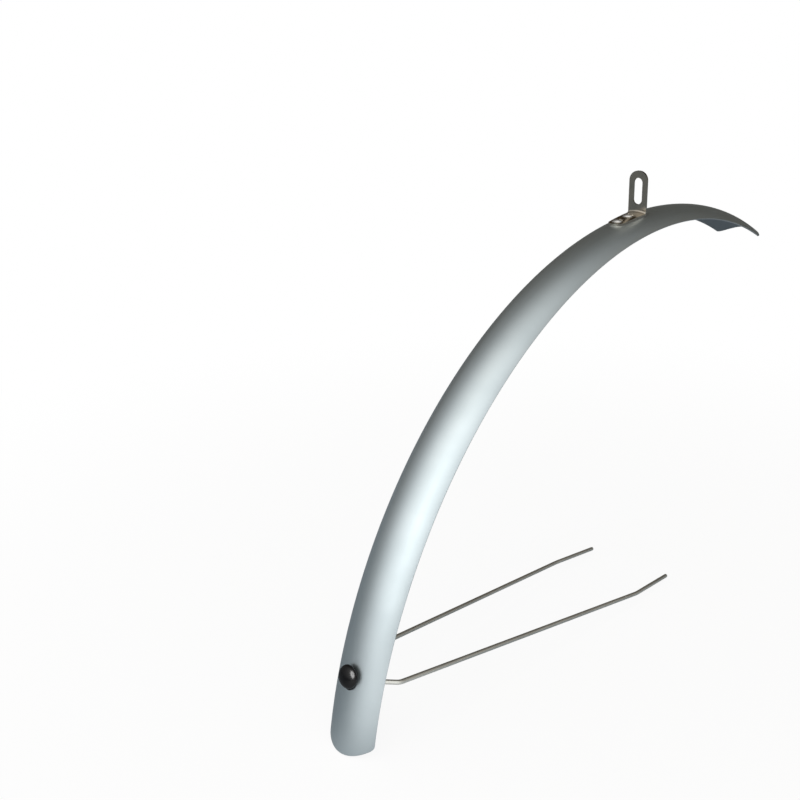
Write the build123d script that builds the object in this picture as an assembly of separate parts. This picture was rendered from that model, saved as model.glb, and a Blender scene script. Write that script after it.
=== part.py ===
import os
from math import asin, cos, degrees, radians, sin, sqrt

from build123d import *

# Front mudguard of a bicycle, in millimetres and degrees.
# Origin: centre of the bracket's slot, on the tab's front face. +X ahead, +Y left, +Z up the tab.
# Angles along the blade are counted at the wheel's centre, forward from straight up.

# Blade: a thin strip, round across and arched round the wheel
CREST_RADIUS = 345.0
BLADE_WIDTH = 38.0
BLADE_CAMBER = 9.6
BLADE_THICKNESS = 1.0
FRONT_END = 27.6
REAR_END = -79.2
FRONT_CORNER = 11.0
REAR_CROWN = 7.5
REAR_CORNER = 4.5
END_ZONE = 20.0
END_ALLOWANCE = 10.0
CORNER_RUNOUT = 0.03

# Crown bracket: a flat tab with a slot, bent into a tongue that is formed to the blade
BRACKET_THICKNESS = 1.5
TAB_WIDTH = 14.5
TAB_ABOVE_SLOT = 5.0
TAB_TOP_FLAT = 1.0
SLOT_WIDTH = 7.0
SLOT_LENGTH = 19.0
SLOT_ABOVE_BLADE = 16.3
TAB_BEHIND_AXLE = 17.6
TONGUE_WIDTH = 12.4
BEND_RADIUS = 1.5

# Bracket rivets, measured back along the blade from the tab's rear face
RIVET_COUNT = 2
FIRST_RIVET = 12.2
RIVET_PITCH = 13.9
RIVET_DIAMETER = 4.0
RIVET_HEAD_DIAMETER = 7.6
RIVET_HEAD_HEIGHT = 1.7
RIVET_TAIL_DIAMETER = 6.0
RIVET_TAIL_HEIGHT = 1.3

# Stay: one wire, a bridge under the blade and a leg at each end.
# Splay is counted outward and rise up the blade, both from the line to the wheel's centre.
STAY_ANGLE = -70.75
STAY_WIRE = 3.0
STAY_DEPTH = 8.0
BRIDGE_WIDTH = 24.0
NECK_LENGTH = 16.2
NECK_SPLAY = 30.6
NECK_RISE = 2.1
RUN_LENGTH = 252.7
RUN_SPLAY = 3.9
RUN_RISE = 8.4
TIP_LENGTH = 50.6
TIP_SPLAY = -2.6
TIP_RISE = 10.4
BRIDGE_CORNER = 5.5
NECK_CORNER = 9.0
TIP_CORNER = 40.0
WIRE_END_ROUND = 0.6

# Eye bolt and the saddle that the stay's bridge is drawn into
BOLT_DIAMETER = 5.0
BOLT_PAST_NUT = 0.5
BOLT_TIP_CHAMFER = 0.5
EYE_DIAMETER = 9.0
EYE_WALL = 2.0
EYE_SHOULDER = 3.4
EYE_ROUND = 1.2
SADDLE_LENGTH = 14.0
SADDLE_WIDTH = 15.0
SADDLE_CORNER = 3.0
DRAW_ROOM = 0.6

# Nut, washer, seat and cap on the outside of the blade
NUT_ACROSS_FLATS = 8.0
NUT_HEIGHT = 2.7
NUT_CHAMFER = 0.5
WASHER_DIAMETER = 9.0
WASHER_THICKNESS = 1.0
SEAT_WIDTH = 9.6
SEAT_REACH = 8.8
SEAT_HEIGHT = 1.4
SEAT_EDGE_ROUND = 0.5
CAP_DIAMETER = 14.5
CAP_LIFT = 1.2
CAP_CROWN = 2.2
CAP_SHOULDER = 2.6
CAP_WALL = 0.85
CAP_COLLAR_WALL = 0.6
CAP_HEADROOM = 0.3

# Clearances, and the tolerance for picking edges by their place
FORM_GAP = 0.05
RIVET_CLEARANCE = 0.05
WIRE_CLEARANCE = 0.05
BOLT_CLEARANCE = 0.2
THREAD_CLEARANCE = 0.05
EYE_CLEARANCE = 0.15
SNAP_CLEARANCE = 0.05
PICK_TOLERANCE = 0.01

# Section of the blade and place of the wheel's centre
section_radius = (BLADE_WIDTH**2 / 4 + BLADE_CAMBER**2) / (2 * BLADE_CAMBER)
section_half_angle = degrees(asin(BLADE_WIDTH / (2 * section_radius)))
foot_x = TAB_BEHIND_AXLE + BRACKET_THICKNESS
foot_z = -SLOT_ABOVE_BLADE
wheel_centre = Vector(TAB_BEHIND_AXLE, 0, foot_z - sqrt(CREST_RADIUS**2 - foot_x**2))
wheel_axis = Axis(wheel_centre, (0, 1, 0))


def across(angle):
    """Plane across the blade through the wheel's axis: x to the left, y outward."""
    ahead = (cos(radians(angle)), 0, -sin(radians(angle)))
    return Plane(origin=wheel_centre, x_dir=(0, 1, 0), z_dir=ahead)


def crest(angle):
    """Plane on the blade's outer crest: x ahead along it, y to the left, z outward."""
    out = Vector(sin(radians(angle)), 0, cos(radians(angle)))
    ahead = (cos(radians(angle)), 0, -sin(radians(angle)))
    return Plane(origin=wheel_centre + out * CREST_RADIUS, x_dir=ahead, z_dir=out)


def along_crest(length):
    """Angle that a length along the outer crest takes up at the wheel's centre."""
    return degrees(length / CREST_RADIUS)


def swept_round(section, start, end):
    """Solid of a section across the blade, carried round the wheel from one angle to another."""
    return revolve(across(start) * section, wheel_axis, end - start)


def form(offset):
    """Round bar whose skin runs parallel to the blade's outer face, at an offset outward."""
    section = Pos(0, CREST_RADIUS - section_radius) * Circle(section_radius + offset)
    return swept_round(section, REAR_END, FRONT_END)


def rod(place, radius, bottom, top):
    """Round rod along a plane's z, between two heights."""
    return extrude(place.offset(bottom) * Circle(radius), top - bottom)


def arc_strip(outer, thickness, half_angle):
    """Face between two arcs about the section's centre, open towards the wheel."""
    outside = CenterArc((0, 0), outer, 90 - half_angle, 2 * half_angle)
    inside = CenterArc((0, 0), outer - thickness, 90 - half_angle, 2 * half_angle)
    edges = [outside, Line(outside @ 1, inside @ 1), inside, Line(outside @ 0, inside @ 0)]
    return Pos(0, CREST_RADIUS - section_radius) * make_face(edges)


# Angles of the fasteners along the blade
tab_angle = -degrees(asin(foot_x / CREST_RADIUS))
rivet_angles = [tab_angle - along_crest(FIRST_RIVET + RIVET_PITCH * place) for place in range(RIVET_COUNT)]
bolt_hole_radius = BOLT_DIAMETER / 2 + BOLT_CLEARANCE
rivet_hole_radius = RIVET_DIAMETER / 2 + RIVET_CLEARANCE
stay_place = crest(STAY_ANGLE)
stay_out = Axis(stay_place.origin, stay_place.z_dir)
eye_top = EYE_SHOULDER - STAY_DEPTH
bolt_top = SEAT_HEIGHT + WASHER_THICKNESS + NUT_HEIGHT + BOLT_PAST_NUT


def end_waste(place, ahead, outline):
    """Solid past an outline that is drawn on a crest plane at the blade's end."""
    window = Pos(-ahead * END_ZONE / 2, 0) * Rectangle(END_ZONE + 2 * END_ALLOWANCE, 2 * BLADE_WIDTH)
    return extrude(place * (window - outline), 2 * BLADE_CAMBER, both=True)


def front_waste():
    """Straight front end with round corners."""
    side = BLADE_WIDTH + 2 * CORNER_RUNOUT * FRONT_CORNER
    outline = Pos(-END_ZONE, 0) * Rectangle(2 * END_ZONE, side)
    outline = fillet(outline.vertices().sort_by(Axis.X)[-2:], FRONT_CORNER)
    return end_waste(crest(FRONT_END), 1, outline)


def rear_waste():
    """Rear end on an arc that falls back by REAR_CROWN at both edges, with smaller corners."""
    crown_radius = (BLADE_WIDTH**2 / 4 + REAR_CROWN**2) / (2 * REAR_CROWN)
    crown = Pos(crown_radius, 0) * Circle(crown_radius)
    side = BLADE_WIDTH + 2 * CORNER_RUNOUT * REAR_CORNER
    outline = crown & Pos(END_ZONE, 0) * Rectangle(3 * END_ZONE, side)
    outline = fillet(outline.vertices().sort_by(Axis.X)[:2], REAR_CORNER)
    return end_waste(crest(REAR_END), -1, outline)


def rivet_holes():
    return [rod(crest(angle), rivet_hole_radius, -BLADE_CAMBER, BLADE_CAMBER) for angle in rivet_angles]


def make_blade():
    strip = arc_strip(section_radius, BLADE_THICKNESS, section_half_angle)
    allowance = along_crest(END_ALLOWANCE / 2)
    blank = swept_round(strip, REAR_END - allowance, FRONT_END + allowance)
    bolt_hole = rod(stay_place, bolt_hole_radius, -BLADE_CAMBER, BLADE_CAMBER)
    return blank - [front_waste(), rear_waste(), bolt_hole, *rivet_holes()]


def lowest_edge_at(solid, x):
    """Lowest of a solid's edges on a plane square to X."""
    edges = solid.edges().filter_by_position(Axis.X, x - PICK_TOLERANCE, x + PICK_TOLERANCE)
    return edges.sort_by(Axis.Z)[0]


def bent_strip(width):
    """Strip of an even width, bent once from an upright plate to a layer on the blade."""
    tall = SLOT_LENGTH + TAB_ABOVE_SLOT
    deep = SLOT_ABOVE_BLADE + BLADE_CAMBER
    upright = Pos(0, (tall - deep) / 2) * Rectangle(width, tall + deep)
    plate = extrude(Plane.YZ * upright, -BRACKET_THICKNESS) - form(FORM_GAP + BRACKET_THICKNESS / 2)
    section = arc_strip(section_radius + FORM_GAP + BRACKET_THICKNESS, BRACKET_THICKNESS, section_half_angle)
    layer = swept_round(section, rivet_angles[-1] - along_crest(TONGUE_WIDTH), 0)
    behind_tab = Box(CREST_RADIUS, width, CREST_RADIUS, align=(Align.MAX, Align.CENTER, Align.CENTER))
    strip = plate + (layer & behind_tab)
    # The bend's inner and outer radii share a centre
    strip = fillet(lowest_edge_at(strip, -BRACKET_THICKNESS), BEND_RADIUS)
    return fillet(lowest_edge_at(strip, 0), BEND_RADIUS + BRACKET_THICKNESS)


def make_crown_bracket():
    half_width = TAB_WIDTH / 2
    tab_top = SLOT_LENGTH / 2 + TAB_ABOVE_SLOT
    # Seen from the front: upright sides and a round top
    upright = Pos(0, tab_top - CREST_RADIUS / 2) * Rectangle(TAB_WIDTH, CREST_RADIUS)
    upright = fillet(upright.vertices().sort_by(Axis.Y)[-2:], half_width - TAB_TOP_FLAT / 2)
    # Seen from above: the tongue narrows from the tab to a round end about the last rivet
    tongue_end = Pos(-FIRST_RIVET - RIVET_PITCH, 0) * Circle(TONGUE_WIDTH / 2)
    tab_sides = [Line((-BEND_RADIUS, side), (TAB_WIDTH, side)) for side in (-half_width, half_width)]
    plan = make_hull([*tongue_end.edges(), *tab_sides])
    bracket = bent_strip(2 * TAB_WIDTH)
    bracket &= extrude(Plane.YZ * upright, CREST_RADIUS, both=True)
    bracket &= extrude(crest(tab_angle) * plan, CREST_RADIUS, both=True)
    slot = extrude(Plane.YZ * SlotOverall(SLOT_LENGTH, SLOT_WIDTH, 90), 2 * BRACKET_THICKNESS, both=True)
    return bracket - [slot, *rivet_holes()]


def dome(place, radius, skirt, height, drop=0):
    """Round dome on a plane: a straight skirt, then a spherical crown. drop carries the skirt down."""
    rise = height - skirt
    crown = RadiusArc((radius, skirt), (0, height), -(radius**2 + rise**2) / (2 * rise))
    sides = Polyline((0, height), (0, -drop), (radius, -drop), (radius, skirt))
    upright = Plane(origin=place.origin, x_dir=place.x_dir, z_dir=-place.y_dir)
    half = make_face([crown, *sides.edges()])
    return revolve(upright * half, Axis(place.origin, place.z_dir))


def make_rivet(angle):
    place = crest(angle)
    head_seat = 2 * FORM_GAP + BRACKET_THICKNESS
    head_place = place.offset(head_seat)
    head = dome(head_place, RIVET_HEAD_DIAMETER / 2, 0, RIVET_HEAD_HEIGHT, RIVET_HEAD_HEIGHT)
    head -= form(head_seat)
    tail_seat = -BLADE_THICKNESS - FORM_GAP
    tail = rod(place, RIVET_TAIL_DIAMETER / 2, tail_seat - RIVET_TAIL_HEIGHT, 0) & form(tail_seat)
    shank = rod(place, RIVET_DIAMETER / 2, tail_seat - RIVET_TAIL_HEIGHT, head_seat + RIVET_HEAD_HEIGHT / 2)
    return head + shank + tail


def make_stay():
    spans = [(NECK_LENGTH, NECK_SPLAY, NECK_RISE), (RUN_LENGTH, RUN_SPLAY, RUN_RISE)]
    spans.append((TIP_LENGTH, TIP_SPLAY, TIP_RISE))
    left = [Vector(0, BRIDGE_WIDTH / 2, -STAY_DEPTH)]
    for length, splay, rise in spans:
        inward = Vector(0, 0, -length).rotate(Axis.X, splay)
        left.append(left[-1] + inward.rotate(Axis.Y, -rise))
    right = [Vector(point.X, -point.Y, point.Z) for point in left]
    corners = [BRIDGE_CORNER, NECK_CORNER, TIP_CORNER]
    route = FilletPolyline(*reversed(left), *right, radius=[*reversed(corners), *corners])
    path = stay_place * route
    wire = sweep(Plane(origin=path @ 0, z_dir=path % 0) * Circle(STAY_WIRE / 2), path)
    ends = wire.edges().filter_by(GeomType.CIRCLE).sort_by(Axis.X)[-2:]
    return fillet(ends, WIRE_END_ROUND)


def bridge_hole(length):
    """Rod along the stay's bridge, a clearance larger than the wire."""
    middle = stay_place.offset(-STAY_DEPTH).origin
    across_plane = Plane(origin=middle, x_dir=stay_place.x_dir, z_dir=stay_place.y_dir)
    return extrude(across_plane * Circle(STAY_WIRE / 2 + WIRE_CLEARANCE), length / 2, both=True)


def make_eye_bolt():
    eye_bottom = -STAY_DEPTH - STAY_WIRE / 2 - WIRE_CLEARANCE - EYE_WALL
    eye = rod(stay_place, EYE_DIAMETER / 2, eye_bottom, eye_top)
    eye = fillet(eye.edges().group_by(stay_out)[0], EYE_ROUND)
    shank = rod(stay_place, BOLT_DIAMETER / 2, eye_top - BOLT_DIAMETER / 2, bolt_top)
    shank = chamfer(shank.edges().group_by(stay_out)[-1], BOLT_TIP_CHAMFER)
    return eye + shank - bridge_hole(2 * EYE_DIAMETER)


def make_stay_saddle():
    outline = RectangleRounded(SADDLE_LENGTH, SADDLE_WIDTH, SADDLE_CORNER)
    saddle = extrude(stay_place.offset(-STAY_DEPTH) * outline, STAY_DEPTH)
    saddle &= form(-BLADE_THICKNESS - FORM_GAP)
    eye_room = rod(stay_place, EYE_DIAMETER / 2 + EYE_CLEARANCE, -2 * STAY_DEPTH, eye_top + DRAW_ROOM)
    bolt_room = rod(stay_place, bolt_hole_radius, -STAY_DEPTH, 0)
    return saddle - [eye_room, bolt_room, bridge_hole(2 * SADDLE_WIDTH)]


def make_cap_seat():
    # An oblong, round about the bolt at its upper end; its lower end reaches out under the cap
    shift = SEAT_REACH - SEAT_WIDTH / 2
    outline = Pos(-shift / 2, 0) * SlotCenterToCenter(shift, SEAT_WIDTH)
    seat = extrude(stay_place.offset(-BLADE_CAMBER) * outline, BLADE_CAMBER + SEAT_HEIGHT)
    seat = fillet(seat.edges().group_by(stay_out)[-1], SEAT_EDGE_ROUND)
    return seat - [form(FORM_GAP), rod(stay_place, bolt_hole_radius, -BLADE_CAMBER, 2 * SEAT_HEIGHT)]


def make_stay_washer():
    bottom = SEAT_HEIGHT
    disc = rod(stay_place, WASHER_DIAMETER / 2, bottom, bottom + WASHER_THICKNESS)
    return disc - rod(stay_place, bolt_hole_radius, bottom - WASHER_THICKNESS, bottom + 2 * WASHER_THICKNESS)


def make_stay_nut():
    bottom = SEAT_HEIGHT + WASHER_THICKNESS
    hexagon = RegularPolygon(NUT_ACROSS_FLATS / 2, 6, major_radius=False)
    nut = extrude(stay_place.offset(bottom) * hexagon, NUT_HEIGHT)
    blank = rod(stay_place, NUT_ACROSS_FLATS / sqrt(3), bottom, bottom + NUT_HEIGHT)
    nut &= chamfer(blank.edges().filter_by(GeomType.CIRCLE), NUT_CHAMFER)
    return nut - rod(stay_place, BOLT_DIAMETER / 2 + THREAD_CLEARANCE, 0, 2 * (bottom + NUT_HEIGHT))


def make_stay_cap():
    # A collar grips the nut and stands on the seat; the domed head over it stands clear of the blade
    place = stay_place.offset(SEAT_HEIGHT)
    grip = NUT_ACROSS_FLATS / sqrt(3) + SNAP_CLEARANCE
    nut_top = WASHER_THICKNESS + NUT_HEIGHT
    pocket_top = nut_top + BOLT_PAST_NUT + CAP_HEADROOM
    cap_top = pocket_top + CAP_WALL
    head = dome(place, CAP_DIAMETER / 2, cap_top - CAP_CROWN, cap_top, -CAP_LIFT)
    rims = head.edges().filter_by(lambda edge: edge.is_closed)
    head = fillet(rims.sort_by(stay_out)[-1], CAP_SHOULDER)
    collar = rod(place, grip + CAP_COLLAR_WALL, 0, cap_top - CAP_CROWN)
    return head + collar - dome(place, grip, nut_top, pocket_top, WASHER_THICKNESS)


parts = {
    "blade": make_blade(),
    "crown_bracket": make_crown_bracket(),
    "bracket_rivets": Compound([make_rivet(angle) for angle in rivet_angles]),
    "stay": make_stay(),
    "eye_bolt": make_eye_bolt(),
    "stay_saddle": make_stay_saddle(),
    "cap_seat": make_cap_seat(),
    "stay_washer": make_stay_washer(),
    "stay_nut": make_stay_nut(),
    "stay_cap": make_stay_cap(),
}
os.makedirs("parts", exist_ok=True)
for node, solid in parts.items():
    export_step(solid, f"parts/{node}.step")
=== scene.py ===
from math import asin, cos, pi, radians, sin, sqrt

import bmesh
import bpy
from mathutils import Matrix, Vector


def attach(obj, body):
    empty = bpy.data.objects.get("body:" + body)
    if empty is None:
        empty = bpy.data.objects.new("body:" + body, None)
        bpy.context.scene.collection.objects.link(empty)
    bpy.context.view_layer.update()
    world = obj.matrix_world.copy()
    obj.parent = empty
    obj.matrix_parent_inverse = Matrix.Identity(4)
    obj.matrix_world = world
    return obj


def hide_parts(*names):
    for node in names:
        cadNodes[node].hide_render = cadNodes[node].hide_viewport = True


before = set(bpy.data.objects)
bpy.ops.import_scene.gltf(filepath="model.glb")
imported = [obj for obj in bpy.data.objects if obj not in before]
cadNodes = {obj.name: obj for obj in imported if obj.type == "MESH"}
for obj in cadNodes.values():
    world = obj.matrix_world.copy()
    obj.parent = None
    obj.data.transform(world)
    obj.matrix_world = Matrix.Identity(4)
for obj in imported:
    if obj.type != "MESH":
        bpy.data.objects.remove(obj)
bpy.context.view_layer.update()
print("frame loaded:", len(cadNodes), "nodes")


class Wire:  # an output socket; arithmetic on it adds Math nodes
    def __init__(self, board, socket):
        self.board = board
        self.socket = socket

    def maths(self, operation, *others):
        values = dict(enumerate((self,) + others))
        return self.board.node("ShaderNodeMath", {"operation": operation}, values)

    def swapped(self, operation, other):  # the same with the other value first
        return self.board.node("ShaderNodeMath", {"operation": operation}, {0: other, 1: self})

    def out(self, name):  # another output of the same node
        return Wire(self.board, self.socket.node.outputs[name])

    def __add__(self, other):
        return self.maths("ADD", other)

    def __sub__(self, other):
        return self.maths("SUBTRACT", other)

    def __mul__(self, other):
        return self.maths("MULTIPLY", other)

    def __truediv__(self, other):
        return self.maths("DIVIDE", other)

    def __pow__(self, other):
        return self.maths("POWER", other)

    def __radd__(self, other):
        return self.maths("ADD", other)

    def __rsub__(self, other):
        return self.swapped("SUBTRACT", other)

    def __rmul__(self, other):
        return self.maths("MULTIPLY", other)

    def __rtruediv__(self, other):
        return self.swapped("DIVIDE", other)

    def __rpow__(self, other):
        return self.swapped("POWER", other)


class Board:  # a node tree; one method adds any node
    def __init__(self, tree):
        self.tree = tree
        tree.nodes.clear()

    def node(self, kind, settings=None, sockets=None):
        made = self.tree.nodes.new(kind)
        for name, value in (settings or {}).items():
            setattr(made, name, value)
        for key, value in (sockets or {}).items():
            if isinstance(value, Wire):
                self.tree.links.new(value.socket, made.inputs[key])
            else:
                made.inputs[key].default_value = value
        shown = [socket for socket in made.outputs if socket.enabled]
        return Wire(self, shown[0] if shown else None)

    def mixColour(self, share, first, second):
        sockets = {0: share, 6: first, 7: second}
        return self.node("ShaderNodeMix", {"data_type": "RGBA"}, sockets)

    def between(self, value, low, high):  # 0 at low, 1 at high, eased
        settings = {"interpolation_type": "SMOOTHSTEP"}
        sockets = {"Value": value, "From Min": low, "From Max": high}
        return self.node("ShaderNodeMapRange", settings, sockets)


# shared by the pieces: the blade's form and where the bracket stands on it, in metres
bladeForm = {
    "crestRadius": 0.345,
    "width": 0.038,
    "camber": 0.0096,
    "thickness": 0.001,
    "frontEnd": radians(27.6),
    "rearEnd": radians(-79.2),
    "frontCorner": 0.011,
    "rearCrown": 0.0075,
    "rearCorner": 0.0045,
    "rimRound": 0.0002,
    "rimSteps": 2,
    "rimAngle": radians(40),
    "alongSteps": 300,
    "acrossSteps": 44,
    "edgeCrowd": 1.35,  # steps crowd towards the edges, where the corners turn
    "sewGap": 1e-6,
}
bracketForm = {
    "tabBehindAxle": 0.0176,
    "thickness": 0.0015,
    "slotAboveBlade": 0.0163,
}
footBehind = bracketForm["tabBehindAxle"] + bracketForm["thickness"]
footRise = sqrt(bladeForm["crestRadius"] ** 2 - footBehind ** 2)  # above the wheel's centre
wheelCentre = Vector((bracketForm["tabBehindAxle"], 0, -bracketForm["slotAboveBlade"] - footRise))
sectionRadius = (bladeForm["width"] ** 2 / 4 + bladeForm["camber"] ** 2) / (2 * bladeForm["camber"])
sectionHalf = asin(bladeForm["width"] / (2 * sectionRadius))


def crestPlace(angle, height=0.0):  # a matrix on the blade's crest: x ahead, y left, z outward
    ahead = Vector((cos(angle), 0, -sin(angle)))
    outward = Vector((sin(angle), 0, cos(angle)))
    spot = wheelCentre + outward * (bladeForm["crestRadius"] + height)
    turn = Matrix((ahead, Vector((0, 1, 0)), outward)).transposed()
    return Matrix.Translation(spot) @ turn.to_4x4()


def newTree(name, inputs):  # a geometry tree with named inputs
    tree = bpy.data.node_groups.new(name, "GeometryNodeTree")
    tree.interface.new_socket("Geometry", in_out="INPUT", socket_type="NodeSocketGeometry")
    tree.interface.new_socket("Geometry", in_out="OUTPUT", socket_type="NodeSocketGeometry")
    kinds = {float: "NodeSocketFloat", int: "NodeSocketInt"}
    for key, value in inputs.items():
        kind = kinds.get(type(value), "NodeSocketMaterial")
        tree.interface.new_socket(key, in_out="INPUT", socket_type=kind)
    board = Board(tree)
    return tree, board, board.node("NodeGroupInput")


def growPiece(name, tree, inputs, start=None, finishers=()):  # the tree's result as a plain mesh
    piece = bpy.data.objects.new(name, start or bpy.data.meshes.new(name + "Start"))
    bpy.context.scene.collection.objects.link(piece)
    grower = piece.modifiers.new("grow", "NODES")
    grower.node_group = tree
    for item in tree.interface.items_tree:
        if item.in_out == "INPUT" and item.name in inputs:
            grower[item.identifier] = inputs[item.name]
    for kind, settings in finishers:
        finisher = piece.modifiers.new(kind.lower(), kind)
        for key, value in settings.items():
            setattr(finisher, key, value)
    graph = bpy.context.evaluated_depsgraph_get()
    grown = bpy.data.meshes.new_from_object(piece.evaluated_get(graph), depsgraph=graph)
    piece.modifiers.clear()
    piece.data = grown
    grown.name = name
    print(name, "grown:", len(grown.polygons), "faces")
    return piece


def roundedEdges(width, steps, angle):  # finishers: a small bevel, then normals that keep the faces even
    bevel = {"width": width, "segments": steps, "limit_method": "ANGLE", "angle_limit": angle}
    return ("BEVEL", bevel), ("WEIGHTED_NORMAL", {"keep_sharp": True})


def endTree(board, geometry, material):  # every tree ends so
    real = board.node("GeometryNodeRealizeInstances", None, {"Geometry": geometry})
    smooth = board.node("GeometryNodeSetShadeSmooth", None, {0: real})
    sockets = {"Geometry": smooth, "Material": material}
    dressed = board.node("GeometryNodeSetMaterial", None, sockets)
    board.node("NodeGroupOutput", None, {0: dressed})


def stored(board, geometry, name, value, kind="FLOAT_VECTOR", domain="POINT"):
    settings = {"data_type": kind, "domain": domain}
    sockets = {"Geometry": geometry, "Name": name, "Value": value}
    return board.node("GeometryNodeStoreNamedAttribute", settings, sockets)


def recalled(board, name, kind="FLOAT"):
    return board.node("GeometryNodeInputNamedAttribute", {"data_type": kind}, {"Name": name})


def moved(board, geometry, spot):
    return board.node("GeometryNodeSetPosition", None, {"Geometry": geometry, "Position": spot})


def joined(board, parts):
    whole = board.node("GeometryNodeJoinGeometry")
    for part in parts:
        board.tree.links.new(part.socket, whole.socket.node.inputs[0])
    return whole


def pointXyz(board):  # the place of each point, split
    place = board.node("GeometryNodeInputPosition")
    split = board.node("ShaderNodeSeparateXYZ", None, {0: place})
    return [split.out(axis) for axis in "XYZ"]


def onBlade(board, along, across, height):
    # a flat place (along the crest, across it, above the outer face) wrapped onto the blade
    crestRadius = bladeForm["crestRadius"]
    tilt = (across / sectionRadius).maths("ARCSINE")
    reach = height + sectionRadius
    outward = tilt.maths("COSINE") * reach + (crestRadius - sectionRadius)
    turn = along / crestRadius
    spot = {
        "X": turn.maths("SINE") * outward + wheelCentre.x,
        "Y": tilt.maths("SINE") * reach,
        "Z": turn.maths("COSINE") * outward + wheelCentre.z,
    }
    return board.node("ShaderNodeCombineXYZ", None, spot)


def newMaterial(name):
    material = bpy.data.materials.new(name)
    material.use_nodes = True
    return material, Board(material.node_tree)


def attribute(board, name, output):  # what a geometry tree stored on the mesh
    return board.node("ShaderNodeAttribute", {"attribute_name": name}).out(output)


def noise(board, place, size, detail):  # the size is one scale, or one for each axis
    if isinstance(size, tuple):
        place = board.node("ShaderNodeMapping", None, {"Vector": place, "Scale": size})
        size = 1.0
    sockets = {"Vector": place, "Scale": size, "Detail": detail}
    return board.node("ShaderNodeTexNoise", None, sockets)


def closeMaterial(board, relief, height, sockets):  # relief is its strength and its depth in metres
    strength, depth = relief
    carved = {"Strength": strength, "Distance": depth, "Height": height}
    bump = board.node("ShaderNodeBump", None, carved)
    shader = board.node("ShaderNodeBsdfPrincipled", None, {**sockets, "Normal": bump})
    board.node("ShaderNodeOutputMaterial", None, {"Surface": shader})


# in the finishes, cloud, grain and the like are a noise's size and detail, and an entry that ends
# in Rough is how much the roughness changes by it
satin = {
    "silver": (0.588, 0.655, 0.680, 1),
    "silverDeep": (0.555, 0.622, 0.647, 1),
    "inside": (0.275, 0.310, 0.335, 1),
    "cutEdge": (0.56, 0.60, 0.62, 1),
    "cloud": (38.0, 3.0),
    "cloudRange": (0.3, 0.7),
    "grain": ((30.0, 2600.0, 1.0), 3.0),
    "pearl": (5200.0, 1.0),
    "insideRange": (0.35, 0.65),
    "edgeRange": (0.45, 0.2),
    "roughness": 0.41,
    "grainRough": 0.10,
    "cloudRough": 0.06,
    "edgeRough": -0.1,
    "relief": (0.05, 0.00004),
}


def satinSilver():  # rolled and anodised sheet: fine grain along the blade, cloudy tone, bare cut edge
    material, board = newMaterial("satinSilver")
    place = attribute(board, "sheetPlace", "Vector")
    cloud = noise(board, place, *satin["cloud"])
    grain = noise(board, place, *satin["grain"])
    pearl = noise(board, place, *satin["pearl"])
    face = attribute(board, "faceKind", "Fac")  # 0 outside, 0.5 on the cut edge, 1 inside
    inside = board.between(face, *satin["insideRange"])
    edge = board.between((face - 0.5).maths("ABSOLUTE"), *satin["edgeRange"])
    clouded = board.between(cloud, *satin["cloudRange"])
    tone = board.mixColour(clouded, satin["silver"], satin["silverDeep"])
    tone = board.mixColour(inside, tone, satin["inside"])
    tone = board.mixColour(edge, tone, satin["cutEdge"])
    rough = satin["roughness"] + (grain - 0.5) * satin["grainRough"]
    rough = rough + (cloud - 0.5) * satin["cloudRough"] + edge * satin["edgeRough"]
    sockets = {"Base Color": tone, "Roughness": rough, "Metallic": 1.0}
    closeMaterial(board, satin["relief"], grain * 0.5 + pearl * 0.5, sockets)
    return material


wireFinish = {
    "warm": (0.90, 0.905, 0.85, 1),
    "grey": (0.80, 0.805, 0.755, 1),
    "streak": ((60.0, 9.0, 9.0), 3.0),
    "cloud": ((35.0, 0.6, 0.6), 2.0),
    "cloudRange": (0.3, 0.7),
    "roughness": 0.36,
    "streakRough": 0.12,
    "relief": (0.08, 0.00003),
}


def drawnWire():  # hard-drawn wire: streaks along it, slow change of tone
    material, board = newMaterial("drawnWire")
    place = attribute(board, "wirePlace", "Vector")
    streak = noise(board, place, *wireFinish["streak"])
    cloud = noise(board, place, *wireFinish["cloud"])
    clouded = board.between(cloud, *wireFinish["cloudRange"])
    tone = board.mixColour(clouded, wireFinish["warm"], wireFinish["grey"])
    rough = wireFinish["roughness"] + streak * wireFinish["streakRough"]
    sockets = {"Base Color": tone, "Roughness": rough, "Metallic": 1.0}
    closeMaterial(board, wireFinish["relief"], streak, sockets)
    return material


steel = {  # the same in all three, apart from tones, grain and roughness
    "cloud": (160.0, 3.0),
    "cloudRange": (0.3, 0.7),
    "grainRough": 0.14,
    "cloudRough": 0.08,
    "relief": (0.08, 0.00003),
}
bracketFinish = {
    "light": (0.445, 0.400, 0.335, 1),
    "dark": (0.368, 0.342, 0.292, 1),
    "grain": ((900.0, 900.0, 60.0), 3.0),
    "roughness": 0.20,
}
rivetFinish = {
    "light": (0.80, 0.79, 0.77, 1),
    "dark": (0.70, 0.69, 0.67, 1),
    "grain": ((700.0, 700.0, 700.0), 3.0),
    "roughness": 0.16,
}
fixingFinish = {
    "light": (0.47, 0.455, 0.43, 1),
    "dark": (0.40, 0.38, 0.355, 1),
    "grain": ((500.0, 500.0, 500.0), 3.0),
    "roughness": 0.32,
}


def brushedSteel(name, finish):  # fine grain over a slow change of tone
    material, board = newMaterial(name)
    place = board.node("ShaderNodeTexCoord").out("Object")
    grain = noise(board, place, *finish["grain"])
    cloud = noise(board, place, *steel["cloud"])
    clouded = board.between(cloud, *steel["cloudRange"])
    tone = board.mixColour(clouded, finish["light"], finish["dark"])
    rough = finish["roughness"] + (grain - 0.5) * steel["grainRough"]
    rough = rough + (cloud - 0.5) * steel["cloudRough"]
    sockets = {"Base Color": tone, "Roughness": rough, "Metallic": 1.0}
    closeMaterial(board, steel["relief"], grain, sockets)
    return material


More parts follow.
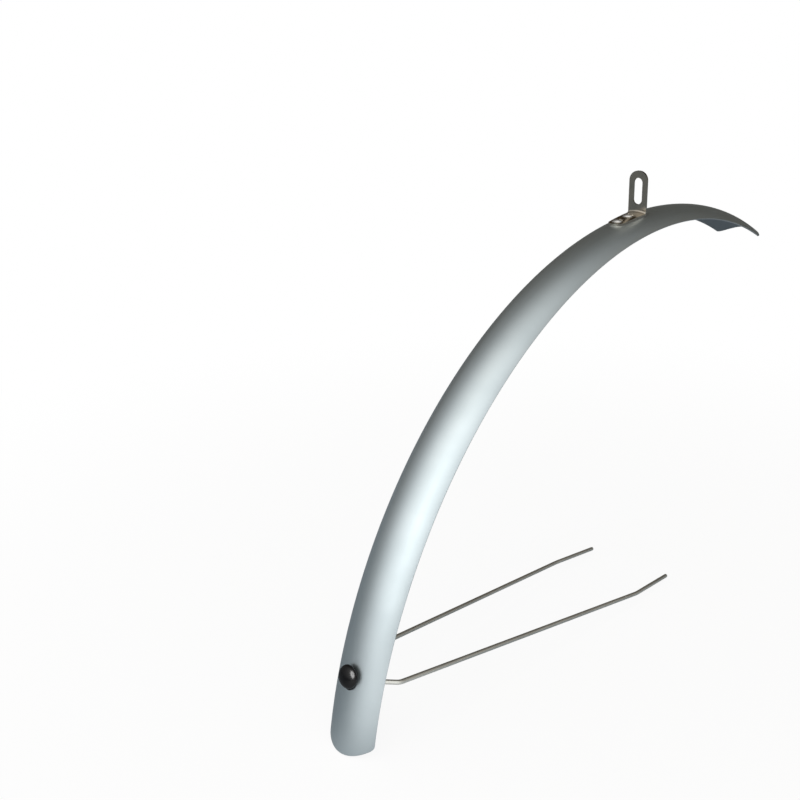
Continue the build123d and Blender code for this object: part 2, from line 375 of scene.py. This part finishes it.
plastic = {
    "black": (0.003, 0.003, 0.0035, 1),
    "worn": (0.006, 0.006, 0.007, 1),
    "gloss": 0.26,  # specular level
    "peel": (1500.0, 2.0),
    "flow": (140.0, 3.0),
    "wornRange": (0.45, 0.75),
    "capRoughness": 0.23,
    "seatRoughness": 0.30,
    "flowRough": 0.16,
    "relief": (0.06, 0.00005),
}


def mouldedBlack(name, roughness):  # injection-moulded plastic: slight flow marks and a fine orange peel
    material, board = newMaterial(name)
    place = board.node("ShaderNodeTexCoord").out("Object")
    peel = noise(board, place, *plastic["peel"])
    flow = noise(board, place, *plastic["flow"])
    worn = board.between(flow, *plastic["wornRange"])
    tone = board.mixColour(worn, plastic["black"], plastic["worn"])
    rough = roughness + (flow - 0.5) * plastic["flowRough"]
    sockets = {"Base Color": tone, "Roughness": rough, "Specular IOR Level": plastic["gloss"]}
    closeMaterial(board, plastic["relief"], peel, sockets)
    return material


silverSheet = satinSilver()
wireSteel = drawnWire()
bracketSteel = brushedSteel("pressedStainless", bracketFinish)
rivetSteel = brushedSteel("brightRivet", rivetFinish)
fixingSteel = brushedSteel("platedFixing", fixingFinish)
capPlastic = mouldedBlack("capBlack", plastic["capRoughness"])
seatPlastic = mouldedBlack("seatBlack", plastic["seatRoughness"])
print("materials made")


# the blade is a sheet that follows one arc across it and another round the wheel
def frontSetback(form, offset):  # how far the straight front end falls back, by distance from the middle
    corner = form["frontCorner"]
    past = (offset - (form["width"] / 2 - corner)).maths("MAXIMUM", 0.0)
    return corner - (corner ** 2 - past * past).maths("MAXIMUM", 0.0).maths("SQRT")


def rearSetback(form, offset):  # an arc over the width, then a smaller corner that meets it
    halfWidth, corner, crown = form["width"] / 2, form["rearCorner"], form["rearCrown"]
    arc = (halfWidth ** 2 + crown ** 2) / (2 * crown)
    cornerAcross = halfWidth - corner
    cornerAlong = arc - sqrt((arc - corner) ** 2 - cornerAcross ** 2)
    meet = arc * cornerAcross / (arc - corner)
    crowned = arc - (arc ** 2 - offset * offset).maths("SQRT")
    past = (offset - cornerAcross).maths("MAXIMUM", 0.0)
    rounded = cornerAlong - (corner ** 2 - past * past).maths("MAXIMUM", 0.0).maths("SQRT")
    beyond = offset.maths("GREATER_THAN", meet)
    return crowned + (rounded - crowned) * beyond


def bladeTree(form, inputs):
    tree, board, given = newTree("bladeSheet", inputs)
    grid = {
        "Size X": 1.0,
        "Size Y": 1.0,
        "Vertices X": given.out("Along Steps"),
        "Vertices Y": given.out("Across Steps"),
    }
    sheet = board.node("GeometryNodeMeshGrid", None, grid)
    flatX, flatY = pointXyz(board)[:2]
    share = flatX + 0.5
    across = (flatY * (2 * form["edgeCrowd"])).maths("SINE") / sin(form["edgeCrowd"])
    tilt = across * sectionHalf
    side = tilt.maths("SINE") * sectionRadius
    offset = side.maths("ABSOLUTE")
    outward = tilt.maths("COSINE") * sectionRadius + (form["crestRadius"] - sectionRadius)
    front = form["frontEnd"] - (frontSetback(form, offset) / outward).maths("ARCSINE")
    rear = form["rearEnd"] + (rearSetback(form, offset) / outward).maths("ARCSINE")
    along = (rear + (front - rear) * share) * form["crestRadius"]
    run = board.node("ShaderNodeCombineXYZ", None, {"X": along, "Y": tilt * sectionRadius})
    sheet = stored(board, sheet, "sheetPlace", run)
    outer = moved(board, sheet, onBlade(board, along, side, 0.0))
    # the inner face is the outer one moved in along its normals, turned over and sewn to it
    sunk = {"Mesh": outer, "Offset Scale": given.out("Thickness") * -1.0, "Individual": False}
    inner = board.node("GeometryNodeExtrudeMesh", {"mode": "FACES"}, sunk)
    level = 0.5 + inner.out("Top") * 0.5  # the outer face has none, so it reads 0
    inner = stored(board, inner, "faceKind", level, "FLOAT", "FACE")
    inner = board.node("GeometryNodeFlipFaces", None, {"Mesh": inner})
    seam = {"Geometry": joined(board, (outer, inner)), "Distance": form["sewGap"]}
    sewn = board.node("GeometryNodeMergeByDistance", None, seam)
    endTree(board, sewn, given.out("Finish"))
    return tree


bladeInputs = {
    "Thickness": bladeForm["thickness"],
    "Along Steps": bladeForm["alongSteps"],
    "Across Steps": bladeForm["acrossSteps"],
    "Finish": silverSheet,
}
rimEdges = roundedEdges(bladeForm["rimRound"], bladeForm["rimSteps"], bladeForm["rimAngle"])
blade = growPiece("bladeSheet", bladeTree(bladeForm, bladeInputs), bladeInputs, finishers=rimEdges)


# the stay is one wire along its bent route
stayForm = {
    "angle": radians(-70.75),
    "wire": 0.003,
    "depth": 0.008,
    "bridge": 0.024,
    "spans": (  # length, splay outward, rise up the blade, bend before the span
        (0.0162, radians(30.6), radians(2.1), 0.0055),
        (0.2527, radians(3.9), radians(8.4), 0.009),
        (0.0506, radians(-2.6), radians(10.4), 0.04),
    ),
    "endRound": 0.0006,
    "endSteps": (0.0, 0.15, 0.45, 1.0),  # where the rounded end has a ring, as shares of its length
    "bendSteps": 12,
    "roundSteps": 20,
}


def stayRoute(form):  # points from end to end, and the bend radius at each
    points = [Vector((0, form["bridge"] / 2, -form["depth"]))]
    bends = []
    for length, splay, rise, bend in form["spans"]:
        inward = Vector((0, length * sin(splay), -length * cos(splay)))
        points.append(points[-1] + Matrix.Rotation(-rise, 3, "Y") @ inward)
        bends.append(bend)
    last = (points[-2] - points[-1]).normalized()
    tip = points.pop()
    for step in reversed(form["endSteps"]):
        points.append(tip + last * step * form["endRound"])
        bends.append(0.0)
    mirrored = [Vector((p.x, -p.y, p.z)) for p in points]
    return list(reversed(points)) + mirrored, list(reversed(bends)) + bends


def stayTree(inputs):
    tree, board, given = newTree("stayWire", inputs)
    radius, endRound = given.out("Wire Radius"), given.out("End Round")
    path = board.node("GeometryNodeMeshToCurve", None, {"Mesh": given.out("Geometry")})
    bent = {"Curve": path, "Count": given.out("Bend Steps"), "Radius": recalled(board, "bend")}
    path = board.node("GeometryNodeFilletCurve", {"mode": "POLY"}, bent)
    length = board.node("GeometryNodeSplineParameter").out("Length")
    path = stored(board, path, "wireRun", length, "FLOAT")
    # near its ends the wire narrows along a quarter circle
    whole = board.node("GeometryNodeSplineLength").out("Length")
    nearest = length.maths("MINIMUM", whole - length)
    short = (endRound - nearest).maths("MAXIMUM", 0.0)
    inset = endRound - (endRound * endRound - short * short).maths("MAXIMUM", 0.0).maths("SQRT")
    ring = {"Resolution": given.out("Round Steps"), "Radius": radius}
    profile = board.node("GeometryNodeCurvePrimitiveCircle", None, ring)
    profile = stored(board, profile, "wireRound", board.node("GeometryNodeInputPosition"))
    swept = {"Curve": path, "Profile Curve": profile, "Scale": 1.0 - inset / radius, "Fill Caps": True}
    wire = board.node("GeometryNodeCurveToMesh", None, swept)
    # the finish reads the run along the wire and the place round it
    turn = board.node("ShaderNodeSeparateXYZ", None, {0: recalled(board, "wireRound", "FLOAT_VECTOR")})
    spot = {"X": recalled(board, "wireRun"), "Y": turn.out("X") / radius, "Z": turn.out("Y") / radius}
    wire = stored(board, wire, "wirePlace", board.node("ShaderNodeCombineXYZ", None, spot))
    endTree(board, wire, given.out("Finish"))
    return tree


def stayStart(form):  # the route as a chain of edges, with the bend radius at each point
    points, bends = stayRoute(form)
    place = crestPlace(form["angle"])
    chain = bpy.data.meshes.new("stayRoute")
    links = [(index, index + 1) for index in range(len(points) - 1)]
    chain.from_pydata([place @ point for point in points], links, [])
    held = chain.attributes.new("bend", "FLOAT", "POINT")
    held.data.foreach_set("value", bends)
    return chain


stayInputs = {
    "Wire Radius": stayForm["wire"] / 2,
    "End Round": stayForm["endRound"],
    "Bend Steps": stayForm["bendSteps"],
    "Round Steps": stayForm["roundSteps"],
    "Finish": wireSteel,
}
stay = growPiece("stayWire", stayTree(stayInputs), stayInputs, stayStart(stayForm))


# the rivets have domed heads and set tails, and are wrapped onto the blade
rivetForm = {
    "count": 2,
    "first": 0.0122,  # behind the bracket's foot
    "pitch": 0.0139,
    "headRadius": 0.0038,
    "headHeight": 0.0017,
    "headRim": 0.00035,
    "shankRadius": 0.002,
    "tailRadius": 0.003,
    "tailHeight": 0.0013,
    "tailRim": 0.0004,
    "seatGap": 0.00005,
    "edgeRound": 0.00012,
    "edgeSteps": 2,
    "edgeAngle": radians(50),
    "roundSteps": 32,
    "sideSteps": 2,
    "domeSteps": 6,
}


def rivetStub(board, form, radius, low, rim, top):  # a round stub with an upright rim and a dome over it
    drum = {
        "Vertices": form["roundSteps"],
        "Side Segments": form["sideSteps"],
        "Fill Segments": form["domeSteps"],
        "Radius": radius,
        "Depth": 1.0,
    }
    stub = board.node("GeometryNodeMeshCylinder", {"fill_type": "TRIANGLE_FAN"}, drum)
    x, y, z = pointXyz(board)
    share = (x * x + y * y) / radius ** 2
    level = z + 0.5  # 0 at the foot, 1 on the top face
    nearTop = 0.999
    crown = level.maths("GREATER_THAN", nearTop) * (1.0 - share) * (top - rim)
    spot = {"X": x, "Y": y, "Z": low + level * (rim - low) + crown}
    return moved(board, stub, board.node("ShaderNodeCombineXYZ", None, spot))


def rivetTree(form, inputs):
    tree, board, given = newTree("bracketRivets", inputs)
    seat = bracketForm["thickness"] + 2 * form["seatGap"]
    under = -bladeForm["thickness"] - form["seatGap"]
    headRim, headTop = seat + form["headRim"], seat + form["headHeight"]
    tailRim, tailTop = under - form["tailRim"], under - form["tailHeight"]
    head = rivetStub(board, form, form["headRadius"], seat, headRim, headTop)
    shank = rivetStub(board, form, form["shankRadius"], under, seat, seat)
    tail = rivetStub(board, form, form["tailRadius"], under, tailRim, tailTop)
    tail = board.node("GeometryNodeFlipFaces", None, {"Mesh": tail})
    rivet = joined(board, (head, shank, tail))
    row = board.node("GeometryNodeMeshLine", None, {"Count": given.out("Count")})
    index = board.node("GeometryNodeInputIndex")
    back = (given.out("First") + index * given.out("Pitch")) * -1.0
    row = moved(board, row, board.node("ShaderNodeCombineXYZ", None, {"X": back}))
    rivets = board.node("GeometryNodeInstanceOnPoints", None, {"Points": row, "Instance": rivet})
    rivets = board.node("GeometryNodeRealizeInstances", None, {"Geometry": rivets})
    along, across, height = pointXyz(board)
    footAlong = -asin(footBehind / bladeForm["crestRadius"]) * bladeForm["crestRadius"]
    wrapped = moved(board, rivets, onBlade(board, along + footAlong, across, height))
    endTree(board, wrapped, given.out("Finish"))
    return tree


rivetInputs = {
    "Count": rivetForm["count"],
    "First": rivetForm["first"],
    "Pitch": rivetForm["pitch"],
    "Finish": rivetSteel,
}
headEdges = roundedEdges(rivetForm["edgeRound"], rivetForm["edgeSteps"], rivetForm["edgeAngle"])
rivets = growPiece("rivetPair", rivetTree(rivetForm, rivetInputs), rivetInputs, finishers=headEdges)

# the cap is turned about the bolt: a dome whose rim stands clear of the blade, a collar round the nut
capForm = {
    "angle": stayForm["angle"],
    "seatHeight": 0.0014,
    "radius": 0.00725,
    "top": 0.00535,  # this and the next heights are above the seat
    "domeFoot": 0.0016,
    "rim": 0.0012,
    "rimRound": 0.00022,
    "collarRadius": 0.00527,
    "pocketRadius": 0.00467,
    "pocketShoulder": 0.0037,
    "pocketTop": 0.0045,
    "domeSteps": 18,
    "pocketSteps": 4,
    "turnSteps": 64,
    "crease": radians(35),
}


def capProfile(form):  # radius and height, from the top of the dome round to the top of the pocket
    points = []
    domeRise = form["top"] - form["domeFoot"]
    for step in range(form["domeSteps"] + 1):
        turn = pi / 2 * step / form["domeSteps"]
        points.append((form["radius"] * sin(turn), form["domeFoot"] + domeRise * cos(turn)))
    edge = form["rimRound"]
    cut = edge * (1 - sqrt(0.5))  # the middle of the rounded edge
    points += [
        (form["radius"], form["rim"] + edge),
        (form["radius"] - cut, form["rim"] + cut),
        (form["radius"] - edge, form["rim"]),
        (form["collarRadius"], form["rim"]),
        (form["collarRadius"], 0.0),
        (form["pocketRadius"], 0.0),
    ]
    pocketRise = form["pocketTop"] - form["pocketShoulder"]
    for step in range(form["pocketSteps"] + 1):
        share = 1 - step / form["pocketSteps"]
        level = form["pocketShoulder"] + pocketRise * (1 - share ** 2)
        points.append((form["pocketRadius"] * share, level))
    return points


def turnedPiece(name, profile, place, form, material):
    steps = form["turnSteps"]
    shell = bmesh.new()
    rings = []
    for radius, level in profile:
        count = steps if radius > 0 else 1
        turns = [2 * pi * step / steps for step in range(count)]
        spots = [place @ Vector((radius * cos(turn), radius * sin(turn), level)) for turn in turns]
        rings.append([shell.verts.new(spot) for spot in spots] * (steps // count))
    for upper, lower in zip(rings, rings[1:]):
        for step in range(steps):
            after = (step + 1) % steps
            corners = (upper[step], lower[step], lower[after], upper[after])
            shell.faces.new(dict.fromkeys(corners))  # at a pole two corners are one
    made = bpy.data.meshes.new(name)
    shell.to_mesh(made)
    shell.free()
    made.shade_smooth()
    made.set_sharp_from_angle(angle=form["crease"])
    made.materials.append(material)
    piece = bpy.data.objects.new(name, made)
    bpy.context.scene.collection.objects.link(piece)
    print(name, "turned:", len(made.polygons), "faces")
    return piece


capPlace = crestPlace(capForm["angle"], capForm["seatHeight"])
cap = turnedPiece("capDome", capProfile(capForm), capPlace, capForm, capPlastic)

# the new pieces ride on the frame and stand for their solids
newPieces = (
    (blade, "blade", "blade_silver"),
    (stay, "stay", "stainless"),
    (rivets, "bracket_rivets", "rivet_steel"),
    (cap, "stay_cap", "black_plastic"),
)
for piece, node, slot in newPieces:
    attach(piece, "root")
    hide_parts(node)

cadFinish = {
    "crown_bracket": bracketSteel,
    "eye_bolt": fixingSteel,
    "stay_washer": fixingSteel,
    "stay_nut": fixingSteel,
    "stay_saddle": seatPlastic,
    "cap_seat": seatPlastic,
}
for node, material in cadFinish.items():
    cadNodes[node].data.materials.clear()
    cadNodes[node].data.materials.append(material)
print("pieces dressed:", len(newPieces) + len(cadFinish))

# the camera as it stood for the photograph
shot = {
    "spot": (-0.65816, -0.38659, 0.12656),
    "look": (0.67380, 0.64874, -0.35373),
    "lean": radians(3),  # the photograph's upright leans forward by this from the tab's
    "lens": 46.085,
    "sensor": 36.0,
}
upright = Vector((sin(shot["lean"]), 0, cos(shot["lean"])))
look = Vector(shot["look"]).normalized()
toRight = look.cross(upright).normalized()
cameraTurn = Matrix((toRight, toRight.cross(look), -look)).transposed()
camera = bpy.data.objects.new("camera", bpy.data.cameras.new("camera"))
camera.data.lens = shot["lens"]
camera.data.sensor_width = shot["sensor"]
camera.matrix_world = Matrix.Translation(shot["spot"]) @ cameraTurn.to_4x4()
bpy.context.scene.collection.objects.link(camera)
bpy.context.scene.camera = camera
print("camera placed")

# floor, lamps and the soft light of the room
studio = {
    "floorSize": 60.0,
    "floorGap": 0.0006,
    "floorColour": (0.95, 0.95, 0.95, 1),
    "floorBounce": (0.295, 0.33, 0.36, 1),  # what the floor gives back to the part
    "shadowShare": 0.10,  # how much of the lit floor, with its shadow, the camera sees under the part
    "shadowReach": (0.3, 0.9),  # the floor is plain white past this distance
    "mirrored": 0.014,  # how strongly metal shows the white surroundings
    "reflectedGlowSpot": (-0.49, -0.24, -0.31),  # painted light: a place on the floor, behind the blade's foot, that glows in reflections only
    "reflectedGlowReach": (0.12, 0.36),
    "reflectedGlowStrength": 1.35,
    "white": (1, 1, 1, 1),
    "room": (0.006, 0.006, 0.006, 1),
    "lampSpot": (-0.918, -0.456, 0.439),
    "lampAim": (-0.25, 0.0, -0.15),
    "lampSize": 0.22,
    "lampPower": 0.2,
    "sparkSize": 1.0,  # a second lamp in the same place, whose gleam only the cap shows
    "sparkPower": 46.0,
    "glow": (  # soft light of the room: where it comes from, how strong, how tight, its colour
        ((-0.655, -0.520, 0.548), 1.74, 1.65, (0.99, 1.0, 1.0)),  # from over the camera's shoulder
        ((-0.500, 0.680, 0.530), 0.42, 3.0, (1.0, 1.0, 1.0)),  # from the part's left
        ((-0.450, -0.200, 0.870), 0.12, 6.0, (1.35, 1.0, 0.60)),  # from above
        ((0.600, -0.750, 0.250), 0.18, 6.0, (1.15, 1.0, 0.82)),  # from the part's right, ahead
        ((0.730, 0.600, 0.330), 0.022, 2.0, (1.5, 0.95, 0.2)),  # from the part's left, ahead
        ((-0.670, -0.720, 0.130), 0.29, 8.0, (1.04, 1.0, 0.95)),  # from beside the camera, low
    ),
}


def whiteness(board, mirrored):  # 1 for what the camera sees itself, less for what metal and glass show
    path = board.node("ShaderNodeLightPath")
    shiny = path.out("Is Glossy Ray").maths("MAXIMUM", path.out("Is Transmission Ray"))
    return path.out("Is Camera Ray").maths("MAXIMUM", shiny * mirrored)


def nearness(board, place, spot, reach):  # 1 about the spot, falling to 0 at the end of the reach
    near, far = reach
    apart = board.node("ShaderNodeVectorMath", {"operation": "DISTANCE"}, {0: place, 1: spot})
    return board.between(apart.out("Value"), far, near)


def paleFloor():  # matt with a shadow under the part, white further off, a patch that glows in reflections only as painted light, and open from below
    material, board = newMaterial("paleFloor")
    direct = board.node("ShaderNodeLightPath").out("Is Camera Ray")
    tone = board.mixColour(direct, studio["floorBounce"], studio["floorColour"])
    matt = board.node("ShaderNodeBsdfDiffuse", None, {"Color": tone})
    white = board.node("ShaderNodeEmission", None, {"Color": studio["white"], "Strength": 1.0})
    place = board.node("ShaderNodeTexCoord").out("Object")
    # painted light: about the spot the floor glows for glossy rays only, giving the blade's foot a
    # brighter reflection
    reflectedGlow = nearness(board, place, studio["reflectedGlowSpot"], studio["reflectedGlowReach"])
    bright = whiteness(board, studio["mirrored"] + reflectedGlow * studio["reflectedGlowStrength"])
    under = nearness(board, place, (0.0, 0.0, 0.0), studio["shadowReach"])
    share = bright * (1.0 - under * studio["shadowShare"])
    seen = board.node("ShaderNodeMixShader", None, {0: share, 1: matt, 2: white})
    clear = board.node("ShaderNodeBsdfTransparent")
    below = board.node("ShaderNodeNewGeometry").out("Backfacing")
    seen = board.node("ShaderNodeMixShader", None, {0: below, 1: seen, 2: clear})
    board.node("ShaderNodeOutputMaterial", None, {"Surface": seen})
    return material


def layFloor():  # square to the photograph's upright, just under the part
    lowest = min(upright.dot(v.co) for node in cadNodes.values() for v in node.data.vertices)
    turn = upright.to_track_quat("Z", "Y").to_matrix().to_4x4()
    spot = upright * (lowest - studio["floorGap"])
    half = studio["floorSize"] / 2
    corners = [Vector((x * half, y * half, 0)) for x, y in ((-1, -1), (1, -1), (1, 1), (-1, 1))]
    sheet = bpy.data.meshes.new("floor")
    sheet.from_pydata([turn @ corner + spot for corner in corners], [], [(0, 1, 2, 3)])
    sheet.materials.append(paleFloor())
    floor = bpy.data.objects.new("floor", sheet)
    bpy.context.scene.collection.objects.link(floor)


def hangLamp(name, size, power, gleamOn=()):  # a round soft box; with gleamOn only those show it
    lamp = bpy.data.objects.new(name, bpy.data.lights.new(name, "AREA"))
    lamp.data.shape = "DISK"
    lamp.data.size = size
    lamp.data.energy = power
    spot = Vector(studio["lampSpot"])
    turn = (Vector(studio["lampAim"]) - spot).to_track_quat("-Z", "Y")
    lamp.matrix_world = Matrix.Translation(spot) @ turn.to_matrix().to_4x4()
    bpy.context.scene.collection.objects.link(lamp)
    if gleamOn:
        lit = bpy.data.collections.new(name + "Lit")
        for piece in gleamOn:
            lit.objects.link(piece)
        lamp.light_linking.receiver_collection = lit
        lamp.visible_diffuse = False


def lightRoom():  # the glow added up by direction, and white for the camera
    world = bpy.data.worlds.new("studioRoom")
    world.use_nodes = True
    bpy.context.scene.world = world
    board = Board(world.node_tree)
    way = board.node("ShaderNodeTexCoord").out("Generated")
    adding = {"data_type": "RGBA", "blend_type": "ADD", "clamp_factor": False}
    room = studio["room"]
    for spot, strength, tightness, colour in studio["glow"]:
        sockets = {0: way, 1: Vector(spot).normalized()}
        facing = board.node("ShaderNodeVectorMath", {"operation": "DOT_PRODUCT"}, sockets).out("Value")
        level = facing.maths("MAXIMUM", 0.0) ** tightness * strength
        room = board.node("ShaderNodeMix", adding, {0: level, 6: room, 7: colour + (1,)})
    room = board.mixColour(whiteness(board, studio["mirrored"]), room, studio["white"])
    sky = board.node("ShaderNodeBackground", None, {"Color": room, "Strength": 1.0})
    board.node("ShaderNodeOutputWorld", None, {"Surface": sky})


layFloor()
hangLamp("softBox", studio["lampSize"], studio["lampPower"])
hangLamp("capSpark", studio["sparkSize"], studio["sparkPower"], (cap,))
lightRoom()
bpy.context.scene.view_settings.view_transform = "Standard"
print("studio set")
